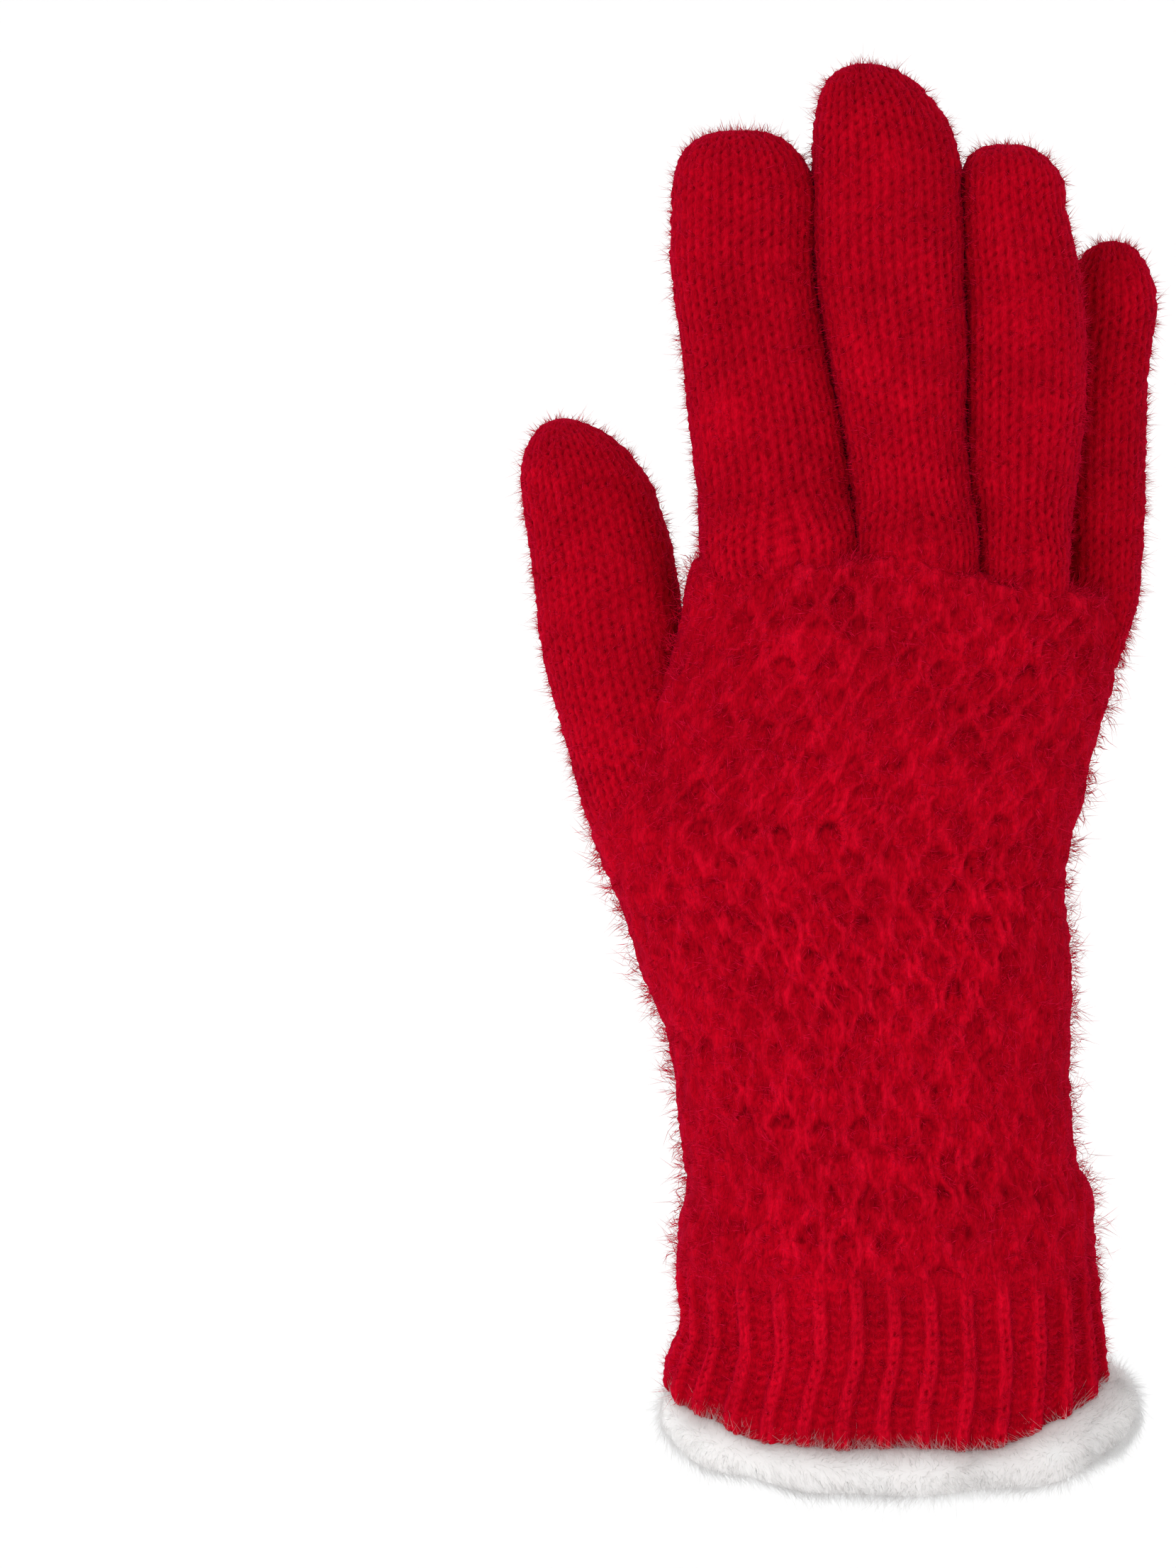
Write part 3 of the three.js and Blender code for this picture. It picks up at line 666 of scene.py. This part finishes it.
# The hand's sections: z, left, right, front, back. Near the knuckles it tilts, the little finger's side bends
# to the palm and the middle of the back rises. Shares go once round the hand.
hand = {
    "rows": [
        (36, -40.6, 38.9, -26.4, 25.8),
        (43, -40.5, 38.7, -26.2, 25.6),
        (50, -38.7, 38.0, -25.0, 24.4),
        (55, -38.9, 35.6, -24.2, 23.8),
        (63, -39.7, 34.6, -23.4, 23.2),
        (71, -40.5, 33.9, -22.8, 22.8),
        (79, -41.8, 33.8, -22.4, 22.6),
        (87, -45.1, 33.9, -22.0, 22.6),
        (95, -47.9, 34.0, -21.6, 22.6),
        (103, -50.4, 33.2, -21.4, 22.4),
        (111, -53.9, 33.4, -21.0, 22.0),
        (118, -56.4, 34.8, -20.6, 21.4),
        (123, -54.4, 36.4, -20.2, 20.8),
        (130, -50.4, 37.8, -19.6, 19.8),
        (139, -46.0, 40.2, -19.0, 18.6),
        (148, -41.4, 42.6, -18.2, 17.2),
        (156, -39.0, 44.0, -17.4, 16.0),
        (161, -38.4, 45.6, -16.8, 15.2),
    ],
    "bottom": 34.5, "squareness": 2.35, "usualHalves": (42.0, 22.0), "shoulderRadius": 6.5,
    "tiltStart": 118, "knuckleTilt": -0.1, "arch": 5, "middleRise": 3, "middleAt": 1, "middleWide": 11,
    # soft mounds and hollows of the palm side: x, z, wide, tall, height
    "mounds": [(-30, 108, 17, 30, 4.5), (20, 92, 16, 30, 2.5), (4, 126, 14, 20, -2.5), (6, 150, 34, 9, 1.8)],
    # rows and columns of the mesh; crowding draws the columns together on the back
    "across": 336, "up": 240, "innerRows": 10, "crowding": 0.35, "backMiddle": 0.75, "pitch": (0.64, 0.56),
    # where the honeycomb ends: past the two sides, and over the shoulder
    "sideEnd": (0.015, 0.045), "topEnd": (0.5, 1.0),
    # its lowest cells are taller: by how much in all, fading over what height
    "tallCells": (9, 34),
    # the raised edge where the back meets the fingers: its turn over the shoulder, width, height, and the
    # painted highlight that lightens it
    "edgeTurn": 0.6, "edgeWide": 0.16, "edgeRise": 0.5, "edgeHighlight": 0.16, "edgeEnds": (0.2, 0.27),
    # palmTone paints shade into the low places of the palm's stitches; ribTone lightens the ribs' crests and
    # darkens the grooves, as painted highlight and shade
    "palmTone": (0.24, 0.55), "backTone": 0.63, "streakTone": 0.08, "streakRise": 0.14,
    "ribTone": 0.12, "ribRise": 0.35, "ribEnds": (1, 7), "tuck": 2.4,
    # streaks of hair across the net: height, how far drawn out upwards, width, seed
    "streaks": [(1, 0.35, 0.7, 31), (0.8, 0.5, 1.4, 32)],
    "palmNoise": [(0.16, 16, 21)], "lumps": [(0.5, 22, 23), (0.3, 7, 24), (*fluff, 27)],
    "cellNoise": [(0.15, 18, 28), (0.13, 5, 25), (0.09, 2.2, 40)],
    "rowNoise": [(0.2, 15, 22), (0.17, 5, 26), (0.12, 2.2, 41)],
    "netNoise": [(0.3, 4, 29)], "strengthNoise": [(0.3, 11, 30)], "edgeNoise": [(0.12, 5, 33)],
    "ribNoise": [(2, 6, 38)],
}

handPile = {
    "tufts": 4300, "hairs": 6, "spread": 0.6, "length": 3.8, "lay": 0.6, "radius": 0.042, "gather": 0.15,
    "bent": True,
}


def handForm(grow, z, topTurn, share):
    # tilted sections with the palm's mounds, rounded over at the knuckles by a quarter turn of topTurn
    topZ = hand["rows"][-1][0]
    radius = hand["shoulderRadius"] + grow
    inset = radius * (1 - np.cos(topTurn))
    left, right, front, back = readTable(hand["rows"], z)
    middleX, middleY = (left + right) / 2, (front + back) / 2
    halfWidth = (right - left) / 2 + grow - inset
    halfDepth = (back - front) / 2 + grow - inset
    turn = evenAngles(*hand["usualHalves"], hand["squareness"], share)
    x, y = squaredEllipse(turn[None], halfWidth[:, None], halfDepth[:, None], hand["squareness"])
    knuckle = smoothstep(z, hand["tiltStart"], topZ)[:, None]
    palmShare = np.clip(y / halfDepth[:, None], 0, None)
    littleShare = np.clip(x / halfWidth[:, None], 0, None)
    worldX = middleX[:, None] + x
    relief = sum(
        height * np.exp(-(((worldX - mx) / wide) ** 2) - ((z[:, None] - mz) / tall) ** 2)
        for mx, mz, wide, tall, height in hand["mounds"]
    )
    worldY = middleY[:, None] + y + palmShare * relief + hand["arch"] * knuckle * littleShare ** 2
    worldZ = (z + radius * np.sin(topTurn))[:, None] + hand["knuckleTilt"] * knuckle * x
    backShare = np.clip(-y / halfDepth[:, None], 0, 1)
    overMiddle = np.exp(-((worldX - hand["middleAt"]) / hand["middleWide"]) ** 2)
    worldZ = worldZ + hand["middleRise"] * knuckle * backShare * overMiddle
    return np.stack([worldX, worldY, worldZ], axis=-1)


def handRows(rowCount, grow):
    # heights and shoulder turns at equal distances up the side and over the shoulder
    topZ, bottom = hand["rows"][-1][0], hand["bottom"]
    arc = (hand["shoulderRadius"] + grow) * np.pi / 2
    reach = np.linspace(0, topZ - bottom + arc, rowCount)
    z = np.minimum(bottom + reach, topZ)
    return z, np.clip((reach - (topZ - bottom)) / arc, 0, 1) * np.pi / 2, reach


def makeHand(material, hairMaterial):
    # one tube, honeycomb on the back and plain knit on the palm. The ribs run out over its foot, which is
    # tucked into the top of the cuff.
    z, topTurn, reach = handRows(hand["up"], 0)
    column = np.arange(hand["across"]) / hand["across"]
    share = column - hand["crowding"] * np.sin(2 * np.pi * (column - hand["backMiddle"])) / (2 * np.pi)
    plain = handForm(0, z, topTurn, share)
    normals = gridNormals(plain)
    share = np.mod(share, 1)[None, :]
    drift = addNoise(0, plain, hand["palmNoise"])
    palmKnit = plainKnit(share * honeycomb["walesRound"] + drift, (reach / knit["course"])[:, None] + drift)
    cell = addNoise(share * honeycomb["cellsRound"], plain, hand["cellNoise"])
    tallBy, tallOver = hand["tallCells"]
    row = ((reach + tallBy * np.exp(-reach / tallOver)) / honeycomb["row"])[:, None]
    row = addNoise(row, plain, hand["rowNoise"])
    thick = honeycomb["net"] * addNoise(1, plain, hand["netNoise"])
    backHeight, backTone = honeycombKnit(cell, row, thick)
    fromBack = np.abs(share - hand["backMiddle"])
    onBack = 1 - smoothstep(fromBack, *(0.25 + past for past in hand["sideEnd"]))
    onBack = onBack * (1 - smoothstep(topTurn, *hand["topEnd"]))[:, None]
    # the honeycomb is strongest along the middle of the back and weak beside the cuff
    strength = 0.4 + 0.45 * (1 - smoothstep(fromBack, 0.12, 0.22))
    strength = strength * addNoise(0.75, plain, hand["strengthNoise"])
    strength = strength * (0.3 + 0.7 * smoothstep(reach, 0.5, 3.5)[:, None])
    streak = sum(high * softNoise(plain * [1, 1, up], size, seed) for high, up, size, seed in hand["streaks"])
    beside = 1 - smoothstep(fromBack, *hand["edgeEnds"])
    edge = (addNoise(topTurn[:, None], plain, hand["edgeNoise"]) - hand["edgeTurn"]) / hand["edgeWide"]
    edge = np.exp(-edge ** 2) * beside
    ribWave = np.cos(2 * np.pi * (share * cuff["ribs"] + ribSway(z, plain)))
    ribWave = ribWave * (1 - smoothstep(addNoise(reach[:, None], plain, hand["ribNoise"]), *hand["ribEnds"]))
    # the tone is painted light: shade in the low places of the stitches, cells and ribs, highlight on the
    # raised net, edge and rib crests
    palmLow, palmHigh = hand["palmTone"]
    onNet = hand["backTone"] + (backTone - honeycomb["tone"]["base"]) * strength + hand["streakTone"] * streak
    relief = (palmLow + palmHigh * palmKnit) * (1 - onBack) + onNet * onBack
    relief = relief + hand["edgeHighlight"] * edge + hand["ribTone"] * ribWave
    rise = (palmKnit - knit["level"]) * knit["depth"] * (1 - onBack)
    netRise = (backHeight - 0.2) * honeycomb["depth"] * strength + hand["streakRise"] * streak
    rise = rise + netRise * onBack + hand["edgeRise"] * edge + hand["ribRise"] * ribWave
    lump = addNoise(0, plain, hand["lumps"])
    tuck = (1 - smoothstep(reach, 0, hand["tuck"]))[:, None]
    outer = plain + normals * (rise + lump * smoothstep(reach, 0, 6)[:, None] - tuck)[..., None]
    innerZ, innerTurn, _ = handRows(hand["innerRows"], -knit["wall"])
    inner = handForm(-knit["wall"], innerZ, innerTurn, column)
    knitShell("hand_tube", outer, inner, material, relief, hand["pitch"])
    # the pile is thickest along the seam with the fingers and thinnest on the palm
    seam = np.exp(-((topTurn[:, None] - 0.5) / 0.4) ** 2)
    pile = dict(handPile, weight=0.35 + 0.65 * onBack + 1.2 * seam * beside)
    growPile("pile_hand_tube", outer, normals, pile, hairMaterial)


# Cuff

# The cuff's sections: z, left, right, front, back. Its hem lifts towards the two sides.
cuff = {
    "rows": [
        (3.2, -40.6, 38.8, -26.4, 25.6),
        (4.6, -42.0, 40.2, -27.6, 26.8),
        (9, -42.2, 40.4, -27.6, 26.8),
        (15, -40.8, 40.2, -26.8, 26.2),
        (21, -39.2, 39.8, -26.2, 25.6),
        (28, -39.4, 39.0, -26.0, 25.4),
        (35.7, -40.6, 38.9, -26.4, 25.8),
    ],
    "ribs": 31, "ribHeight": 1.7, "ribEnds": (-3.5, 1.5), "stitchHeight": 0.7, "barHeight": 0.5,
    "waleShare": 0.44, "course": 1.78, "wall": 3.0, "overlap": 2.8,
    "usualHalves": (40.0, 26.0), "liftLeft": 8, "liftRight": 11, "liftBack": 4, "liftPower": 3.5,
    "liftFade": 1.5, "across": 403, "up": 82, "innerRows": 6, "pitch": (0.55, 0.47),
    # tones of the ribs, of the bars between them and of the plain top, darker where the yarn lies low as
    # painted shade; flank is a painted shadow line beside a rib
    "ribTone": (0.34, 0.6), "barTone": (0.54, 0.22), "topTone": 0.66, "flank": (0.24, 0.07, 0.11),
    "swayNoise": [(0.14, 14, 31)], "courseNoise": [(0.1, 10, 32)], "lumps": [(0.3, 13, 33), (*fluff, 34)],
    "endNoise": [(2.2, 7, 35)], "barNoise": [(0.3, 3, 36)], "barShade": [(0.3, 4, 37)],
    "toneNoise": [(0.06, 2.5, 39)],
}

cuffPile = {"tufts": 3000, "hairs": 4, "spread": 0.3, "length": 2.8}


def cuffForm(grow, z):
    # sections of the cuff, lifted towards the two sides; the lift fades out up to the top
    left, right, front, back = readTable(cuff["rows"], z)
    low, high = cuff["rows"][0][0], cuff["rows"][-1][0]
    halfWidth, halfDepth = (right - left) / 2 + grow, (back - front) / 2 + grow
    share = np.arange(cuff["across"]) / cuff["across"]
    turn = evenAngles(*cuff["usualHalves"], hand["squareness"], share)
    x, y = squaredEllipse(turn[None], halfWidth[:, None], halfDepth[:, None], hand["squareness"])
    fade = np.clip((high - z) / (high - low), 0, 1)[:, None] ** cuff["liftFade"]
    lift = fade * hemLift(x / halfWidth[:, None], y)
    middle = ((left + right) / 2)[:, None], ((front + back) / 2)[:, None]
    return np.stack([middle[0] + x, middle[1] + y, z[:, None] + lift], axis=-1)


def hemLift(sideShare, y):
    # the hem rises to its two sides as a power of the distance from the middle
    share = np.clip(np.abs(sideShare), 0, 1) ** cuff["liftPower"]
    side = np.where(sideShare < 0, cuff["liftLeft"], cuff["liftRight"])
    base = np.where(y > 0, cuff["liftBack"], 0)
    return base + (side - base) * share


def ribSway(z, points):
    # how far the ribs lean to one side, in ribs: a slow sine of the height and some noise
    return addNoise(0.1 * np.sin(z / 9.0 + 1.0)[:, None], points, cuff["swayNoise"])


def makeCuff(material, hairMaterial):
    # each rib is one raised wale of plain knit; between ribs the yarn lies in purl bars
    low, high = cuff["rows"][0][0], cuff["rows"][-1][0]
    top = high + cuff["overlap"]
    z = np.linspace(low, top, cuff["up"])
    plain = cuffForm(0, z)
    normals = gridNormals(plain)
    share = (np.arange(cuff["across"]) / cuff["across"])[None, :]
    phase = share * cuff["ribs"] + 0.5 + ribSway(z, plain)
    within = phase - np.floor(phase) - 0.5
    # the ribs run out at the top, each at its own height
    fades, ends = (high + past for past in cuff["ribEnds"])
    shown = 1 - smoothstep(addNoise(z[:, None], plain, cuff["endNoise"]), fades, ends)
    shown = shown * (1 - smoothstep(z, high, high + 1)[:, None])
    ridge = smoothstep(0.5 + 0.5 * np.cos(2 * np.pi * within), 0.3, 1.0)
    course = addNoise((z / cuff["course"])[:, None], plain, cuff["courseNoise"])
    stitch = plainKnit(np.clip(within / cuff["waleShare"] + 0.5, 0.01, 0.99), course)
    barPlace = addNoise(course + 0.2 * np.cos(4 * np.pi * phase), plain, cuff["barNoise"])
    bar = (0.5 + 0.5 * np.cos(2 * np.pi * barPlace)) * addNoise(0.75, plain, cuff["barShade"])
    flankAt, flankWide, flankShade = cuff["flank"]
    flank = np.exp(-((np.abs(within) - flankAt) / flankWide) ** 2)
    (ribLow, ribHigh), (barLow, barHigh) = cuff["ribTone"], cuff["barTone"]
    # ribs and bars are painted darker where their yarn lies low, and darker again along the painted shadow
    # beside each rib
    relief = ridge * (ribLow + ribHigh * stitch) + (1 - ridge) * (barLow + barHigh * bar)
    relief = addNoise(relief - flankShade * flank, plain, cuff["toneNoise"])
    relief = relief * shown + cuff["topTone"] * (1 - shown)
    lump = addNoise(0, plain, cuff["lumps"]) * shown
    tight = (0.35 + 0.65 * smoothstep(z, low, low + 5))[:, None]
    rise = cuff["ribHeight"] * (ridge - 0.5) * tight
    rise = rise + ridge * (stitch - knit["level"]) * cuff["stitchHeight"]
    rise = (rise + (1 - ridge) * bar * cuff["barHeight"]) * shown
    rise = rise - smoothstep(z, high + 0.4, top)[:, None]
    outer = plain + normals * (rise + lump)[..., None]
    inner = cuffForm(-cuff["wall"], np.linspace(low, top, cuff["innerRows"]))
    knitShell("rib_cuff", outer, inner, material, relief, cuff["pitch"])
    # little of the pile stands near the hem, where the fur is
    pile = dict(cuffPile, weight=0.15 + 0.85 * smoothstep(z, low + 2, low + 8)[:, None])
    growPile("pile_rib_cuff", outer, normals, pile, hairMaterial)


# Fur trim

# The roll of fur round the hem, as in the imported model: angle, out, halfDepth, halfHeight, drop. The skin is
# sunk below that, and each fibre is rooted a little below the skin.
fur = {
    "rows": [
        (0, 1.9, 7.2, 8.2, 6.0),
        (45, 0.9, 6.2, 7.0, 4.6),
        (90, 0.2, 5.2, 5.4, 3.6),
        (135, -0.2, 5.0, 5.4, 3.4),
        (180, -0.6, 4.8, 6.0, 3.6),
        (225, 0.0, 5.0, 5.2, 2.6),
        (270, 0.3, 5.2, 4.8, 2.4),
        (315, 1.2, 6.2, 6.0, 3.4),
        (360, 1.9, 7.2, 8.2, 6.0),
    ],
    "around": 200, "across": 34, "sunk": 0.8, "lumps": [(0.6, 13, 41), (0.12, 4, 42)],
    "toneNoise": [(0.5, 4, 43)],
    "fibres": 32000, "length": 3.4, "lengths": 0.25, "radii": (0.03, 0.055), "rooted": 0.3,
    "waveSize": 12, "waveSeeds": (44, 45, 46), "waveSweep": 0.9, "straySweep": 0.25, "upright": (0.1, 0.55),
    # droop draws every fibre down, and sweptUp draws those on top up again
    "droop": 0.5, "sweptUp": 1.0,
}


def furForm(turn, across, reach):
    # the roll round the hem: an egg-shaped profile whose size follows the table of angles
    out, halfDepth, halfHeight, drop = readTable(fur["rows"], np.degrees(turn) % 360)
    puff = 1 + 0.06 * np.sin(7 * turn + 1) + 0.05 * np.sin(12 * turn)
    _, left, right, front, back = cuff["rows"][1]
    halfWide = (right - left) / 2 - cuff["wall"] / 2
    halfDeep = (back - front) / 2 - cuff["wall"] / 2
    middle = (left + right) / 2, (front + back) / 2
    outward = out[:, None] + ((halfDepth * puff)[:, None] + reach) * np.cos(across)[None]
    c, s = squaredEllipse(turn, 1, 1, hand["squareness"])
    x = middle[0] + halfWide * c[:, None] + outward * np.cos(turn)[:, None]
    y = middle[1] + halfDeep * s[:, None] + outward * np.sin(turn)[:, None]
    level = cuff["rows"][0][0] + hemLift(c, s) - drop
    z = level[:, None] + ((halfHeight * puff)[:, None] + reach) * np.sin(across)[None]
    return np.stack([x, y, z], axis=-1)


def makeFur(material, hairMaterial):
    # a soft roll, and the pile on it: fibres leave the roll outwards, lean and droop
    turn = np.arange(fur["around"]) / fur["around"] * 2 * np.pi
    across = np.arange(fur["across"]) / fur["across"] * 2 * np.pi
    rows = furForm(turn, across, -fur["sunk"]).transpose(1, 0, 2)
    normals = gridNormals(np.concatenate([rows[-1:], rows, rows[:1]]))[1:-1]
    skin = rows + normals * addNoise(0, rows, fur["lumps"])[..., None]
    quads, corner = bandFaces(*skin.shape[:2], closed=True)
    tone = addNoise(0.5, skin, fur["toneNoise"])
    makeObject("fur_roll", skin.reshape(-1, 3), [quads], material, {"tone": tone},
               ("fur_trim",), corner * mm)
    closedSkin, closedNormals = (np.concatenate([grid, grid[:1]]) for grid in (skin, normals))
    where, out = pickOnGrid(closedSkin, closedNormals, fur["fibres"])
    count = len(where)
    sweep = sweepWaves(where, fur)
    sweep[:, 2] += fur["sweptUp"] * smoothstep(out[:, 2], 0.0, 0.7) - fur["droop"]
    sweep += rng.normal(0, fur["straySweep"], (count, 3))
    sweep -= out * np.sum(sweep * out, axis=1, keepdims=True)
    reach = out * rng.uniform(*fur["upright"], (count, 1)) + sweep
    length = fur["length"] * rng.lognormal(0, fur["lengths"], (count, 1))
    reach *= length / np.linalg.norm(reach, axis=1, keepdims=True)
    radius = rng.uniform(*fur["radii"], count)
    roots = where - out * fur["rooted"]
    straightFibres("fur_pile", roots, reach, radius, rng.random(count), hairMaterial)


# Stage

def makeStage():
    # a paper sweep: flat floor, then a quarter turn up into the back wall
    settings = {"floorZ": -0.45, "back": 0.9, "radius": 0.5, "half": 2.5, "front": -2.5, "top": 2.2}
    turn = np.linspace(0, np.pi / 2, 24)
    y = np.concatenate([[settings["front"]], settings["back"] + settings["radius"] * np.sin(turn)])
    z = np.concatenate([[0], settings["radius"] * (1 - np.cos(turn))])
    y, z = np.append(y, y[-1]), np.append(z, settings["top"]) + settings["floorZ"]
    x = np.array([-settings["half"], settings["half"]])
    points = np.stack([np.tile(x, len(y)), np.repeat(y, 2), np.repeat(z, 2)], axis=-1)
    k = np.arange(len(y) - 1)[:, None] * 2
    mesh = bpy.data.meshes.new("paper_sweep")
    mesh.from_pydata(points.tolist(), [], (k + np.array([[0, 1, 3, 2]])).tolist())
    mesh.materials.append(paleFloor())
    sweep = addObject("paper_sweep", mesh)


def aim(thing, place, target):
    # puts a camera or lamp at place, looking at target with its top up
    thing.location = place
    thing.rotation_euler = (Vector(target) - Vector(place)).to_track_quat("-Z", "Y").to_euler()


# Soft studio light: name, place, target, size and power of each lamp, and the strength of the white world
studio = {
    "lamps": [
        ("keyLight", (-0.5, -0.68, -0.02), (0, 0, 0.05), 0.6, 3.0),
        ("fillLight", (0.9, -1.4, 0.3), (0, 0, 0.13), 1.2, 4),
        ("topLight", (0, 0.7, 1.6), (0, 0.6, 0), 1.2, 6),
        ("paperLight", (-1.0, 0.5, 0.2), (0, 1.4, 0.1), 0.8, 3.4),
        ("paperLight", (1.0, 0.5, 0.2), (0, 1.4, 0.1), 0.8, 3.4),
    ],
    "world": 0.55,
}


def lightStudio():
    # large square lamps in front, above and beside the paper, and an even white world
    for name, place, target, size, power in studio["lamps"]:
        data = bpy.data.lights.new(name, "AREA")
        data.shape, data.size, data.energy = "SQUARE", size, power
        aim(addObject(name, data), place, target)
    world = bpy.data.worlds.new("studio")
    bpy.context.scene.world = world
    world.use_nodes = True
    background = world.node_tree.nodes["Background"]
    background.inputs["Color"].default_value = (1, 1, 1, 1)
    background.inputs["Strength"].default_value = studio["world"]
    bpy.context.scene.view_settings.view_transform = "Standard"


# The photograph: its size, the pixels of the origin in it, millimetres a pixel and the camera's distance
photo = {"wide": 1659, "high": 2212, "scale": 0.135, "originX": 1255, "originY": 2045, "distance": 700}


def makeCamera():
    # the photograph's middle pixel, at the photograph's scale, seen square on from the camera's distance
    x = (photo["wide"] / 2 - photo["originX"]) * photo["scale"] * mm
    z = (photo["originY"] - photo["high"] / 2) * photo["scale"] * mm
    data = bpy.data.cameras.new("camera")
    data.lens = data.sensor_width * photo["distance"] / (photo["high"] * photo["scale"])
    camera = addObject("camera", data)
    aim(camera, (x, -photo["distance"] * mm, z), (x, 0, z))
    bpy.context.scene.camera = camera


makeCamera()
makeStage()
lightStudio()
print("camera, lights and floor made")

yarn = brushedYarn()
redHair = looseHair("looseRedFibre", "B8001C", "E41440", 0.1, 0)
whiteFur = looseHair("plushFurBacking", "F2EEED", "F8F5F4", 0.3, 1.0)
whiteHair = looseHair("plushFurPile", "F2EFEE", "FCFAF9", 0.4, 1.0)

for node in fingers:
    makeFinger(node, yarn, redHair)
print("fingers knitted")
makeHand(yarn, redHair)
makeCuff(yarn, redHair)
print("hand and cuff knitted")
makeFur(whiteFur, whiteHair)
print("fur trim made")
